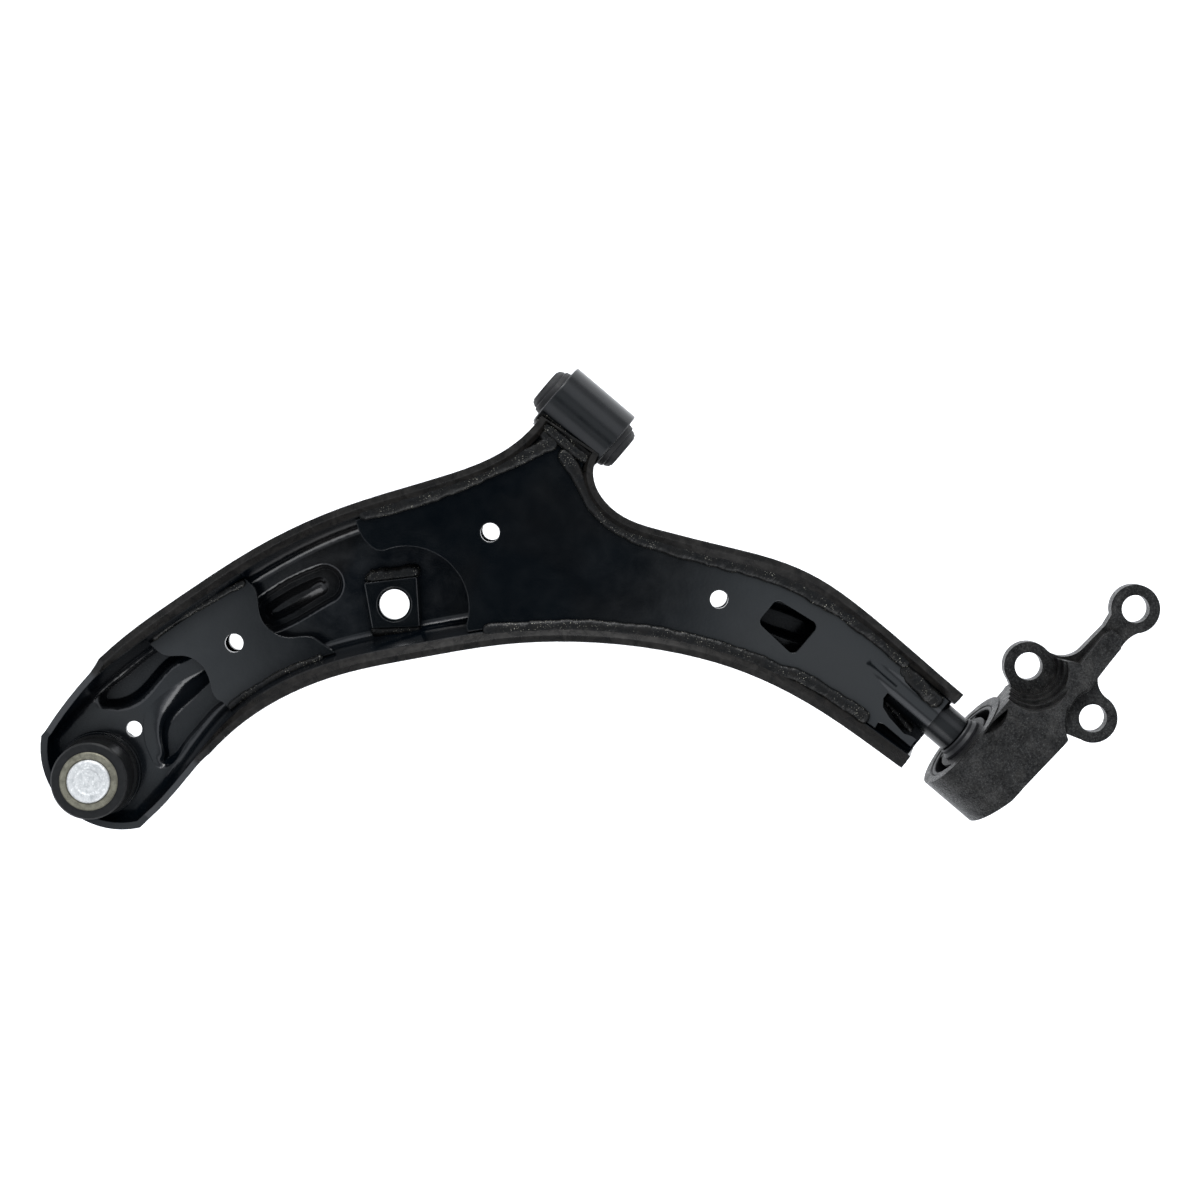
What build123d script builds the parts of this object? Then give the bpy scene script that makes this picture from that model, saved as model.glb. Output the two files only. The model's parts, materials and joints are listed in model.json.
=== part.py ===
from build123d import *
import math
import os

os.makedirs("parts", exist_ok=True)

# Front lower control arm. Millimetres. The origin is the centre of the front bush, +X runs along the
# pivot axis to the rear bush, and +Z points out of the open side of the pressed channel.

# pressed channel
sheet = 3.2              # thickness of the pressed steel
rim_z = 15.0             # open edge of the channel
lip_z = 11.5             # where the flared lip meets the wall
web_z = -11.0            # inner face of the web
web_under = web_z - 3.0  # far face of the web
end_rim_z = -3.0         # rim height round the ball joint
rim_drop_start = -240.0  # Y where the rim starts to fall towards the ball joint
rim_drop_end = -288.0    # Y where it has reached end_rim_z
arm_end_x = 226.0        # cut end of the rim, next to the rear bush
web_end_x = 229.4        # cut end of the web
web_bend = 4.0           # inside bend radius at the foot of the walls

# plates welded into the channel
cover_top = 11.0
cover_thick = 2.5
bridge_top = 2.0
bridge_thick = 2.5
link_top = -6.5
weld_r = 2.3

# front bush
tube_r = 17.0
tube_bore = 15.0
tube_half = 18.6
sleeve_half = 25.0
front_bore = 6.1
front_sleeve_r = 9.0
fit = 0.05

# rear bush and its pin
pin_r = 9.6
pin_start = 199.0
arch_start = 172.0       # where the cover plate begins to rise over the pin
arch_full = 199.5        # where it has risen all the way
ring_front = 242.6
ring_back = 274.0
bush_back = 270.6        # end of the bush, short of the ring's back face
ring_r = 27.3
ring_bore = 22.0
rear_sleeve_in = 19.9
rear_inner_r = 11.6
ear_top = 3.0
ear_bottom = -4.0
ear_r = 12.0
ear_hole_r = 6.8
ears = [(265.5, 104.0), (243.8, 48.8), (284.2, 49.8)]

# ball joint
ball_x = -69.0
ball_y = -289.2
ball_z = -5.0
ball_r = 13.0
housing_r = 18.7
housing_top = 12.0
housing_bottom = -24.0
housing_bore = 14.25
flange_r = 20.0
flange_z = -6.4          # face of the pressed collar that the housing flange sits on
stud_neck_r = 6.8
stud_thread_r = 6.0
stud_end = -80.0

# rim of the channel, clockwise: convex edge, edge from the neck to the rear pin, concave edge.
# Each entry is x, y, the width of the flared lip there and how far the wall below it leans in.
convex = [
    (-105.5, -293.0, 0.0, 5.0), (-104.8, -268.0, 0.0, 5.0), (-104.2, -250.0, 1.5, 5.0),
    (-101.6, -227.0, 3.4, 5.0), (-93.1, -191.5, 3.8, 5.0), (-79.7, -147.7, 3.8, 5.0),
    (-61.8, -109.0, 3.8, 5.0), (-34.8, -66.3, 3.8, 5.0), (-20.2, -38.7, 3.0, 3.0),
    (-16.6, -12.0, 2.0, 2.0),
]
rear_edge = [
    (16.5, -8.0, 1.0, 2.0), (22.5, -19.0, 2.5, 2.0), (41.0, -24.0, 3.8, 3.0), (62.7, -16.9, 4.6, 4.0),
    (89.5, -3.7, 5.4, 5.0), (116.6, 9.2, 5.4, 4.6), (136.9, 15.1, 5.4, 3.2), (160.4, 17.4, 4.4, 1.6),
    (198.5, 17.6, 3.4, 0.6), (236.0, 17.8, 3.2, 0.6),
]
concave = [
    (236.0, -28.2, 3.8, 4.0), (201.4, -30.8, 3.8, 4.0), (177.9, -33.4, 3.8, 4.6),
    (136.3, -43.7, 3.8, 5.0), (100.3, -61.1, 3.8, 5.0), (68.4, -83.2, 3.8, 5.0),
    (39.9, -109.3, 3.8, 5.0), (14.5, -139.1, 3.8, 5.0), (-9.6, -170.4, 3.8, 5.0),
    (-24.1, -198.0, 3.8, 5.0), (-31.0, -222.0, 3.0, 5.0), (-33.0, -245.0, 1.2, 5.0),
    (-32.4, -268.0, 0.0, 5.0), (-32.8, -296.0, 0.0, 5.0),
]
end_mid = (-70.5, -313.6)


def inward(edge, lip_share, lean_share, extra):
    """Points of a rim edge moved into the channel by shares of the lip and lean and a fixed amount."""
    moved = []
    for i, (x, y, lip, lean) in enumerate(edge):
        before = edge[max(i - 1, 0)]
        after = edge[min(i + 1, len(edge) - 1)]
        dx = after[0] - before[0]
        dy = after[1] - before[1]
        size = math.hypot(dx, dy)
        step = lip_share * lip + lean_share * lean + extra
        moved.append((x + step * dy / size, y - step * dx / size))
    return moved


def lean_share_at(z):
    """Share of the walls' lean that is reached at height z."""
    return (lip_z - z) / (lip_z - web_z)


def channel_outline(lip_share, lean_share, extra):
    """Closed outline of the channel, inset from the rim. Call inside a BuildLine."""
    a = inward(convex, lip_share, lean_share, extra)
    b = inward(rear_edge, lip_share, lean_share, extra)
    c = inward(concave, lip_share, lean_share, extra)
    end_inset = 5.0 * lean_share + extra
    a[0] = (a[0][0], a[0][1] + 0.5 * end_inset)
    c[-1] = (c[-1][0], c[-1][1] + 0.5 * end_inset)
    Spline(*a)
    Line(a[-1], b[0])
    Spline(*b)
    Line(b[-1], c[0])
    Spline(*c)
    ThreePointArc(c[-1], (end_mid[0], end_mid[1] + end_inset), a[0])


def level(z):
    return Plane.XY.offset(z)


# ---------------------------------------------------------------- channel
with BuildPart() as outer_skin:
    for z, share, lean in [(rim_z, 0.0, 0.0), (lip_z, 1.0, 0.0), (web_under, 1.0, lean_share_at(web_under))]:
        with BuildSketch(level(z)):
            with BuildLine():
                channel_outline(share, lean, 0.0)
            make_face()
    loft(ruled=True)

with BuildPart() as inner_skin:
    top_share = -1.0 / (rim_z - lip_z)
    for z, share, lean in [(rim_z + 1.0, top_share, 0.0), (lip_z, 1.0, 0.0), (web_z, 1.0, 1.0)]:
        with BuildSketch(level(z)):
            with BuildLine():
                channel_outline(share, lean, sheet)
            make_face()
    loft(ruled=True)
outer_foot = outer_skin.part.faces().sort_by(Axis.Z)[0].edges()
outer_form = outer_skin.part.fillet(web_bend + 2.6, outer_foot)
inner_foot = inner_skin.part.faces().sort_by(Axis.Z)[0].edges()
inner_form = inner_skin.part.fillet(web_bend, inner_foot)

# pressed pockets in the web. Each has an outline at the web, a shelf where its side turns steep and a
# foot where the side meets the floor.
pocket_drop = 6.0
pocket_sheet = 2.8       # thickness of the steel drawn into the pockets
left_edge = [
    (-69.5, -206.5), (-71.0, -216.6), (-74.2, -225.0), (-74.8, -236.0), (-74.8, -246.0),
    (-76.6, -253.0), (-80.2, -258.4), (-86.0, -262.6), (-92.0, -265.0), (-95.0, -261.0),
    (-93.3, -250.0), (-90.5, -235.0), (-86.9, -219.0), (-83.6, -207.0), (-76.0, -202.5),
]
left_foot = [
    (-77.0, -210.0), (-78.9, -217.5), (-81.4, -226.0), (-82.0, -236.0), (-82.2, -244.0),
    (-83.4, -250.0), (-85.6, -254.6), (-88.2, -257.8), (-90.6, -259.2), (-92.0, -257.0),
    (-91.0, -248.0), (-88.6, -235.0), (-85.4, -221.5), (-82.6, -212.0), (-79.6, -208.6),
]
right_edge = [
    (-61.5, -208.0), (-63.1, -216.8), (-67.4, -227.0), (-70.4, -237.5), (-71.6, -245.5),
    (-71.0, -252.0), (-67.2, -257.7), (-61.7, -263.0), (-54.4, -266.8), (-48.6, -268.4),
    (-45.4, -265.4), (-45.6, -252.0), (-45.8, -240.0), (-44.8, -224.0), (-42.8, -212.0),
    (-51.0, -204.5),
]
right_shelf = [
    (-60.5, -212.0), (-62.0, -220.4), (-63.8, -228.9), (-64.5, -238.5), (-64.4, -245.0),
    (-62.8, -250.6), (-59.5, -255.0), (-55.5, -258.6), (-51.0, -262.0), (-48.2, -265.0),
    (-46.2, -263.4), (-46.2, -251.6), (-46.4, -240.0), (-45.4, -224.4), (-43.6, -213.0),
    (-51.5, -207.0),
]
right_foot = [
    (-55.0, -214.0), (-56.3, -222.0), (-57.0, -232.1), (-58.4, -241.0), (-58.6, -246.5),
    (-57.6, -251.0), (-54.6, -255.6), (-51.6, -258.8), (-49.6, -260.8), (-48.4, -262.2),
    (-47.8, -260.4), (-47.8, -250.5), (-48.0, -239.5), (-47.0, -225.5), (-46.0, -216.0),
    (-51.0, -212.0),
]


def between(a, b, share):
    """Outline part of the way from one outline to another."""
    return [(p[0] + (q[0] - p[0]) * share, p[1] + (q[1] - p[1]) * share) for p, q in zip(a, b)]


def grown(points, amount):
    """Closed clockwise or anticlockwise outline moved outwards by an amount."""
    area = 0.0
    for i, p in enumerate(points):
        q = points[(i + 1) % len(points)]
        area += p[0] * q[1] - q[0] * p[1]
    side = math.copysign(amount, area)
    moved = []
    for i, (x, y) in enumerate(points):
        before = points[i - 1]
        after = points[(i + 1) % len(points)]
        dx = after[0] - before[0]
        dy = after[1] - before[1]
        size = math.hypot(dx, dy)
        moved.append((x + side * dy / size, y - side * dx / size))
    return moved


def long_outline(centre, angle, length, width):
    """Points round a long bead with round ends."""
    c = math.cos(math.radians(angle))
    s = math.sin(math.radians(angle))
    half = (length - width) / 2
    points = []
    for end, first in [(1, -90), (-1, 90)]:
        for step in range(7):
            turn = math.radians(first + 30 * step)
            u = end * half + width / 2 * math.cos(turn)
            v = width / 2 * math.sin(turn)
            points.append((centre[0] + u * c - v * s, centre[1] + u * s + v * c))
    return points


def smooth_solid(stages):
    """Solid whose side runs smoothly through closed outlines given as (z, points)."""
    with BuildPart() as solid:
        for z, points in stages:
            with BuildSketch(level(z)):
                with BuildLine():
                    Spline(*points, periodic=True)
                make_face()
        loft()
    return solid.part


def pocket(edge, shelf, foot, shelf_drop, drop, z_top, z_over):
    """Solid pocket with a rounded shoulder, a shelf and a steep lower side."""
    rest = drop - shelf_drop
    return smooth_solid([
        (z_top + z_over, between(edge, shelf, -0.15)),
        (z_top, edge),
        (z_top - 0.35 * shelf_drop, between(edge, shelf, 0.5)),
        (z_top - shelf_drop, shelf),
        (z_top - shelf_drop - 0.45 * rest, between(shelf, foot, 0.42)),
        (z_top - shelf_drop - 0.85 * rest, between(shelf, foot, 0.75)),
        (z_top - drop, foot),
    ])


bead_angle = 69.0
bead_middle = (-50.4, -159.8)
ridge_middle = (-50.9, -160.8)
bead_edge = long_outline(bead_middle, bead_angle, 50.0, 21.0)
bead_foot = long_outline(bead_middle, bead_angle, 43.6, 14.6)
hidden_edge = long_outline((140.0, -13.0), 20.0, 44.0, 15.0)
hidden_foot = long_outline((140.0, -13.0), 20.0, 35.0, 6.0)
pocket_forms = [
    (left_edge, between(left_edge, left_foot, 0.3), left_foot, 0.8),
    (right_edge, right_shelf, right_foot, 2.0),
    (bead_edge, between(bead_edge, bead_foot, 0.35), bead_foot, 0.6),
    (hidden_edge, between(hidden_edge, hidden_foot, 0.3), hidden_foot, 0.6),
]
floor_z = web_z - pocket_drop
pocket_inner = []
pocket_outer = []
for edge, shelf, foot, shelf_drop in pocket_forms:
    pocket_inner.append(pocket(edge, shelf, foot, shelf_drop, pocket_drop, web_z, 0.25))
    pocket_outer.append(pocket(
        grown(edge, 1.5), grown(shelf, 1.5), grown(foot, 1.5), shelf_drop,
        pocket_drop + pocket_sheet - sheet + 0.2, web_under, 0.25))


def ridge(z_foot):
    """Low ridge along the middle of the long bead."""
    return smooth_solid([
        (z_foot - 0.5, long_outline(ridge_middle, bead_angle, 36.0, 11.0)),
        (z_foot + 0.3, long_outline(ridge_middle, bead_angle, 33.6, 8.8)),
        (z_foot + 1.3, long_outline(ridge_middle, bead_angle, 30.4, 4.8)),
        (z_foot + 2.1, long_outline(ridge_middle, bead_angle, 27.6, 1.2)),
    ])


link_hole = (-12.0, -130.4)
web_holes = [
    ((-70.2, -261.4), 4.0), ((-59.3, -194.4), 4.8), (link_hole, 8.8),
    ((1.0, -71.4), 4.9), ((107.2, -24.6), 5.0),
]

with BuildPart() as main_channel:
    add(outer_form)
    for solid in pocket_outer:
        add(solid)
    add(ridge(floor_z - pocket_sheet), mode=Mode.SUBTRACT)
    add(inner_form, mode=Mode.SUBTRACT)
    for solid in pocket_inner:
        add(solid, mode=Mode.SUBTRACT)
    add(ridge(floor_z))
    # stepped collar pressed up round the ball joint housing
    with BuildSketch(level(web_under)):
        with Locations((ball_x, ball_y)):
            Circle(20.9)
    extrude(amount=5.6)
    with BuildSketch(level(web_z)):
        with Locations((ball_x, ball_y)):
            Circle(20.2)
    extrude(amount=flange_z - web_z)
    # bore for the ball joint housing, with room for its flange
    with Locations((ball_x, ball_y, 0)):
        Cylinder(housing_r + fit, 80, mode=Mode.SUBTRACT)
    with BuildSketch(level(flange_z)):
        with Locations((ball_x, ball_y)):
            Circle(flange_r + fit)
    extrude(amount=30, mode=Mode.SUBTRACT)
    for (hx, hy), r in web_holes:
        with Locations((hx, hy, web_z)):
            Cylinder(r, 20, mode=Mode.SUBTRACT)
    # rim falls away round the ball joint
    with BuildSketch(Plane.YZ.offset(-150)):
        with BuildLine():
            Polyline(
                (rim_drop_start, rim_z), (rim_drop_end, end_rim_z), (-340.0, end_rim_z),
                (-340.0, 40.0), (rim_drop_start, 40.0), close=True,
            )
        make_face()
    extrude(amount=200, mode=Mode.SUBTRACT)
    # saddle for the front tube, cut end beside the rear bush
    with BuildSketch(Plane.YZ.offset(-60)):
        Circle(tube_r + fit)
        with Locations((30.0, 0)):
            Rectangle(60.0, 80.0)
    extrude(amount=100, mode=Mode.SUBTRACT)
    with BuildSketch(Plane.XZ.offset(-60.0)):
        with BuildLine():
            Polyline(
                (arm_end_x, 40.0), (arm_end_x, rim_z), (web_end_x, web_z), (web_end_x, -40.0),
                (arm_end_x + 60.0, -40.0), (arm_end_x + 60.0, 40.0), close=True,
            )
        make_face()
    extrude(amount=120.0, mode=Mode.SUBTRACT)
main_channel.part.label = "main_channel"
export_step(main_channel.part, "parts/main_channel.step")

# ---------------------------------------------------------------- cover plate over the wide part
plate_edge = sheet + 0.35
arch_r = pin_r + fit + cover_thick
with BuildPart() as cover_plate:
    with BuildSketch(level(cover_top - cover_thick)):
        with BuildLine():
            channel_outline(1.0, lean_share_at(cover_top - cover_thick), plate_edge)
        make_face()
        # free left edge: short shoulder, then an arc round the link plate
        with BuildLine():
            l1 = Line((-70.0, -98.0), (-49.0, -111.5))
            l2 = ThreePointArc((-49.0, -111.5), (-43.5, -113.6), (-35.0, -113.6))
            l3 = Line((-35.0, -113.6), (-32.5, -111.6))
            l4 = ThreePointArc((-32.5, -111.6), (-5.0, -95.6), (21.5, -113.4))
            l5 = Line((21.5, -113.4), (60.0, -140.0))
            l6 = Line((60.0, -140.0), (260.0, -140.0))
            l7 = Line((260.0, -140.0), (260.0, 40.0))
            l8 = Line((260.0, 40.0), (-70.0, 40.0))
            l9 = Line((-70.0, 40.0), (-70.0, -98.0))
        make_face(mode=Mode.INTERSECT)
    extrude(amount=cover_thick)
    # arch formed over the rear pin, with a sloping start
    with BuildSketch(Plane.XZ):
        with BuildLine():
            Polyline(
                (arch_start, cover_top - cover_thick), (arch_start, cover_top - 0.4),
                (arch_full, arch_r), (arm_end_x, arch_r), (arm_end_x, cover_top - cover_thick),
                close=True,
            )
        make_face()
    revolve(axis=Axis.X)
    with BuildSketch(level(cover_top - cover_thick)):
        with Locations((200.0, 0.0)):
            Rectangle(100.0, 60.0)
    extrude(amount=-60.0, mode=Mode.SUBTRACT)
    with BuildSketch(Plane.YZ.offset(pin_start - 0.5)):
        Circle(pin_r + fit)
    extrude(amount=50.0, mode=Mode.SUBTRACT)
    # clearance round the front tube and the cut at the free end
    with BuildSketch(Plane.YZ.offset(-60)):
        Circle(tube_r + 0.3)
        with Locations((30.0, 0)):
            Rectangle(60.0, 80.0)
    extrude(amount=100, mode=Mode.SUBTRACT)
    with Locations((223.6 + 25, 0, 0)):
        Box(50, 120, 80, mode=Mode.SUBTRACT)
    # round holes, window with rounded corners
    for hx, hy, r in [(1.0, -71.4, 4.65), (106.6, -24.1, 4.4)]:
        with Locations((hx, hy, cover_top)):
            Cylinder(r, 20, mode=Mode.SUBTRACT)
    with BuildSketch(level(0)) as window:
        with BuildLine():
            Polyline((127.8, -5.8), (151.8, -2.1), (151.8, -21.6), (128.0, -20.4), close=True)
        make_face()
        fillet(window.vertices(), 3.2)
    extrude(amount=30, mode=Mode.SUBTRACT)
    # notch beside the pin and the slot below it
    with BuildSketch(level(0)) as notch:
        with BuildLine():
            Polyline(
                (198.2, -5.6), (198.4, -9.0), (201.0, -12.4), (206.5, -14.2), (217.0, -15.6),
                (221.0, -14.0), (240.0, -13.4), (240.0, -5.6), close=True,
            )
        make_face()
    extrude(amount=30, mode=Mode.SUBTRACT)
    with BuildSketch(level(0)):
        with BuildLine():
            Polyline((204.0, -19.6), (204.6, -22.6), (240.0, -22.2), (240.0, -18.2), (206.6, -18.4), close=True)
        make_face()
    extrude(amount=30, mode=Mode.SUBTRACT)
cover_plate.part.label = "cover_plate"
export_step(cover_plate.part, "parts/cover_plate.step")

# ---------------------------------------------------------------- bridge plate near the ball joint
with BuildPart() as bridge_plate:
    with BuildSketch(level(bridge_top - bridge_thick)):
        with BuildLine():
            channel_outline(1.0, lean_share_at(bridge_top - bridge_thick), plate_edge)
        make_face()
        with BuildLine():
            b1 = Line((-110.0, -221.0), (-85.6, -221.6))
            b2 = Spline((-85.6, -221.6), (-79.4, -219.8), (-73.8, -215.0), (-66.0, -213.0), (-57.5, -215.6),
                        (-50.3, -220.3), (-45.0, -220.0))
            b3 = Line((-45.0, -220.0), (-20.0, -222.0))
            b4 = Line((-20.0, -222.0), (0.0, -164.0))
            b5 = Line((0.0, -164.0), (-31.5, -167.2))
            b6 = Spline((-31.5, -167.2), (-36.0, -170.2), (-41.0, -175.2), (-49.0, -178.0), (-57.5, -176.4),
                        (-64.6, -170.6), (-69.5, -167.4))
            b7 = Line((-69.5, -167.4), (-110.0, -164.0))
            b8 = Line((-110.0, -164.0), (-110.0, -221.0))
        make_face(mode=Mode.INTERSECT)
    extrude(amount=bridge_thick)
    with Locations((-59.3, -194.4, bridge_top)):
        Cylinder(4.55, 20, mode=Mode.SUBTRACT)
bridge_plate.part.label = "bridge_plate"
export_step(bridge_plate.part, "parts/bridge_plate.step")

# ---------------------------------------------------------------- link plate on the web
with BuildPart() as link_plate:
    with BuildSketch(level(web_z)) as link_face:
        with BuildLine():
            Polyline((-30.4, -132.0), (-12.4, -112.6), (4.9, -130.6), (-12.7, -146.6), close=True)
        make_face()
        fillet(link_face.vertices(), 0.8)
    extrude(amount=link_top - web_z)
    chamfer(link_plate.faces().sort_by(Axis.Z)[-1].edges(), 0.4)
    with Locations((link_hole[0], link_hole[1], link_top)):
        Cylinder(7.4, 20, mode=Mode.SUBTRACT)
    top_rim = link_plate.edges().filter_by(GeomType.CIRCLE).sort_by(Axis.Z)[-1]
    chamfer(top_rim, 1.2)
link_plate.part.label = "link_plate"
export_step(link_plate.part, "parts/link_plate.step")

# ---------------------------------------------------------------- front tube and rear pin
with BuildPart() as front_tube:
    with BuildSketch(Plane.YZ.offset(-tube_half)):
        Circle(tube_r)
        Circle(tube_bore, mode=Mode.SUBTRACT)
    extrude(amount=2 * tube_half)
    chamfer(front_tube.edges().filter_by(GeomType.CIRCLE), 0.5)
front_tube.part.label = "front_tube"
export_step(front_tube.part, "parts/front_tube.step")

with BuildPart() as rear_pin:
    with BuildSketch(Plane.XZ):
        with BuildLine():
            Polyline(
                (pin_start, 0), (pin_start, 8.2), (pin_start + 1.4, pin_r),
                (238.0, pin_r), (238.6, 9.0), (238.6, 7.0), (275.0, 7.0), (276.0, 6.0), (276.0, 0),
                close=True,
            )
        make_face()
    revolve(axis=Axis.X)
rear_pin.part.label = "rear_pin"
export_step(rear_pin.part, "parts/rear_pin.step")


def bead_along(points, z, radius):
    """Round weld bead along points at one height."""
    with BuildPart() as solid:
        with BuildLine() as path:
            Spline(*[(x, y, z) for x, y in points])
        with BuildSketch(path.line ^ 0):
            Circle(radius)
        sweep()
        with Locations(path.line @ 0, path.line @ 1):
            Sphere(radius)
    return solid.part


# ---------------------------------------------------------------- weld beads
def wall_path(edge, first, last, z, lean):
    """Points along the inside of a wall at height z, set in by lean."""
    inset = inward(edge, 1.0, lean_share_at(z), sheet + lean)
    return inset[first:last]


cover_z = cover_top + 0.2
cover_weld_front = bead_along(
    [(-52.6, -106.6)] + wall_path(convex, 7, 9, cover_z, 0.9) + [(-3.6, -19.6)], cover_z, weld_r)
cover_weld_front.label = "cover_weld_front"
export_step(cover_weld_front, "parts/cover_weld_front.step")

cover_weld_rear = bead_along(
    [(5.0, -20.6), (19.0, -25.2), (29.0, -30.4)] + wall_path(rear_edge, 2, 9, cover_z, 0.9), cover_z, weld_r)
cover_weld_rear.label = "cover_weld_rear"
export_step(cover_weld_rear, "parts/cover_weld_rear.step")

cover_weld_inner = bead_along(
    wall_path(concave, 1, 6, cover_z, 0.9) + [(27.6, -110.8)], cover_z, weld_r)
cover_weld_inner.label = "cover_weld_inner"
export_step(cover_weld_inner, "parts/cover_weld_inner.step")

bridge_z = bridge_top + 0.2
bridge_weld_outer = bead_along(
    [(-90.6, -218.0), (-88.0, -205.0), (-84.0, -192.0), (-74.6, -168.5)], bridge_z, weld_r)
bridge_weld_outer.label = "bridge_weld_outer"
export_step(bridge_weld_outer, "parts/bridge_weld_outer.step")

bridge_weld_inner = bead_along(
    [(-40.8, -219.5), (-37.8, -208.0), (-32.2, -191.5), (-21.9, -172.0)], bridge_z, weld_r)
bridge_weld_inner.label = "bridge_weld_inner"
export_step(bridge_weld_inner, "parts/bridge_weld_inner.step")

link_weld_upper = bead_along([(-30.0, -130.0), (-21.5, -120.8), (-13.5, -112.0)], web_z + 1.0, 2.4)
link_weld_upper.label = "link_weld_upper"
export_step(link_weld_upper, "parts/link_weld_upper.step")

link_weld_lower = bead_along([(-11.0, -146.6), (-3.0, -139.2), (4.4, -132.4)], web_z + 1.2, 2.6)
link_weld_lower.label = "link_weld_lower"
export_step(link_weld_lower, "parts/link_weld_lower.step")

with BuildPart() as tube_weld:
    with BuildSketch(Plane.YZ.offset(-17.6)):
        with BuildLine():
            ThreePointArc((-10.6, 14.6), (-18.0, 0.0), (-10.6, -14.6))
            Line((-10.6, -14.6), (-8.8, -12.6))
            ThreePointArc((-8.8, -12.6), (-15.4, 0.0), (-8.8, 12.6))
            Line((-8.8, 12.6), (-10.6, 14.6))
        make_face()
    extrude(amount=35.2)
    with BuildSketch(Plane.YZ.offset(-18.2)):
        Circle(tube_r)
    extrude(amount=36.4, mode=Mode.SUBTRACT)
tube_weld.part.label = "tube_weld"
export_step(tube_weld.part, "parts/tube_weld.step")

pin_weld_lower = bead_along([(203.0, -9.4), (210.0, -10.4), (217.0, -11.6), (221.4, -12.2)], -5.0, 1.7)
pin_weld_lower.label = "pin_weld_lower"
export_step(pin_weld_lower, "parts/pin_weld_lower.step")

with BuildPart() as pin_weld_pad:
    with BuildSketch(level(9.0)) as pad_face:
        with BuildLine():
            Polyline((206.4, 4.8), (209.0, 9.6), (222.4, 9.8), (223.4, 6.4), (220.0, 3.8), close=True)
        make_face()
        fillet(pad_face.vertices(), 1.4)
    extrude(amount=4.4)
    chamfer(pin_weld_pad.faces().sort_by(Axis.Z)[-1].edges(), 0.9)
    with BuildSketch(Plane.YZ.offset(200)):
        Circle(pin_r + cover_thick + 2 * fit)
    extrude(amount=40, mode=Mode.SUBTRACT)
pin_weld_pad.part.label = "pin_weld_pad"
export_step(pin_weld_pad.part, "parts/pin_weld_pad.step")

# ---------------------------------------------------------------- front bush
with BuildPart() as front_outer_sleeve:
    with BuildSketch(Plane.YZ.offset(-17.8)):
        Circle(tube_bore - fit)
        Circle(tube_bore - 1.4, mode=Mode.SUBTRACT)
    extrude(amount=35.6)
front_outer_sleeve.part.label = "front_outer_sleeve"
export_step(front_outer_sleeve.part, "parts/front_outer_sleeve.step")

rubber_out = tube_bore - 1.4 - fit
rubber_in = front_sleeve_r + fit
with BuildPart() as front_rubber:
    with BuildSketch(Plane.XZ):
        with BuildLine():
            Polyline(
                (0, rubber_in), (24.2, rubber_in), (24.4, 9.8), (22.6, 10.9), (21.6, 11.0), (21.2, 11.9),
                (19.0, 12.4), (18.7, 13.3), (16.0, rubber_out), (0, rubber_out), close=True,
            )
        make_face()
        mirror(about=Plane.YZ)
    revolve(axis=Axis.X)
front_rubber.part.label = "front_rubber"
export_step(front_rubber.part, "parts/front_rubber.step")

with BuildPart() as front_inner_sleeve:
    with BuildSketch(Plane.YZ.offset(-sleeve_half)):
        Circle(front_sleeve_r)
        Circle(front_bore, mode=Mode.SUBTRACT)
    extrude(amount=2 * sleeve_half)
    chamfer(front_inner_sleeve.edges().filter_by(GeomType.CIRCLE), 0.4)
front_inner_sleeve.part.label = "front_inner_sleeve"
export_step(front_inner_sleeve.part, "parts/front_inner_sleeve.step")

# ---------------------------------------------------------------- rear bush
with BuildPart() as rear_inner_sleeve:
    with BuildSketch(Plane.XZ):
        with BuildLine():
            Polyline(
                (238.7, 7.05), (238.7, 10.2), (239.3, 10.5), (240.6, 10.5), (242.2, rear_inner_r),
                (274.4, rear_inner_r), (275.0, 11.0), (275.0, 7.05), close=True,
            )
        make_face()
    revolve(axis=Axis.X)
rear_inner_sleeve.part.label = "rear_inner_sleeve"
export_step(rear_inner_sleeve.part, "parts/rear_inner_sleeve.step")

with BuildPart() as rear_rubber:
    with BuildSketch(Plane.YZ.offset(ring_front + 1.0)):
        Circle(rear_sleeve_in - fit)
        Circle(rear_inner_r + fit, mode=Mode.SUBTRACT)
    extrude(amount=bush_back - ring_front - 2.0)
    # two kidney-shaped voids
    with BuildSketch(Plane.YZ.offset(ring_front - 2)):
        for side in (0, 180):
            with BuildLine():
                a = math.radians(side - 46)
                b = math.radians(side + 46)
                c = math.radians(side)
                v1 = ThreePointArc(
                    (21.0 * math.cos(a), 21.0 * math.sin(a)),
                    (21.0 * math.cos(c), 21.0 * math.sin(c)),
                    (21.0 * math.cos(b), 21.0 * math.sin(b)))
                v2 = Line(v1 @ 1, (17.2 * math.cos(b), 17.2 * math.sin(b)))
                v3 = ThreePointArc(
                    v2 @ 1, (14.9 * math.cos(c), 14.9 * math.sin(c)),
                    (17.2 * math.cos(a), 17.2 * math.sin(a)))
                v4 = Line(v3 @ 1, v1 @ 0)
            make_face()
    extrude(amount=40, mode=Mode.SUBTRACT)
rear_rubber.part.label = "rear_rubber"
export_step(rear_rubber.part, "parts/rear_rubber.step")

with BuildPart() as rear_outer_sleeve:
    with BuildSketch(Plane.YZ.offset(ring_front + 0.4)):
        Circle(ring_bore - fit)
        Circle(rear_sleeve_in, mode=Mode.SUBTRACT)
    extrude(amount=bush_back - ring_front - 0.8)
    chamfer(rear_outer_sleeve.edges().filter_by(GeomType.CIRCLE), 0.4)
rear_outer_sleeve.part.label = "rear_outer_sleeve"
export_step(rear_outer_sleeve.part, "parts/rear_outer_sleeve.step")

# ---------------------------------------------------------------- cast rear bracket
body_front = 243.0       # flush with the ring's front face, near enough
body_edge = 248.2        # where the slope above that face meets the top
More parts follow.
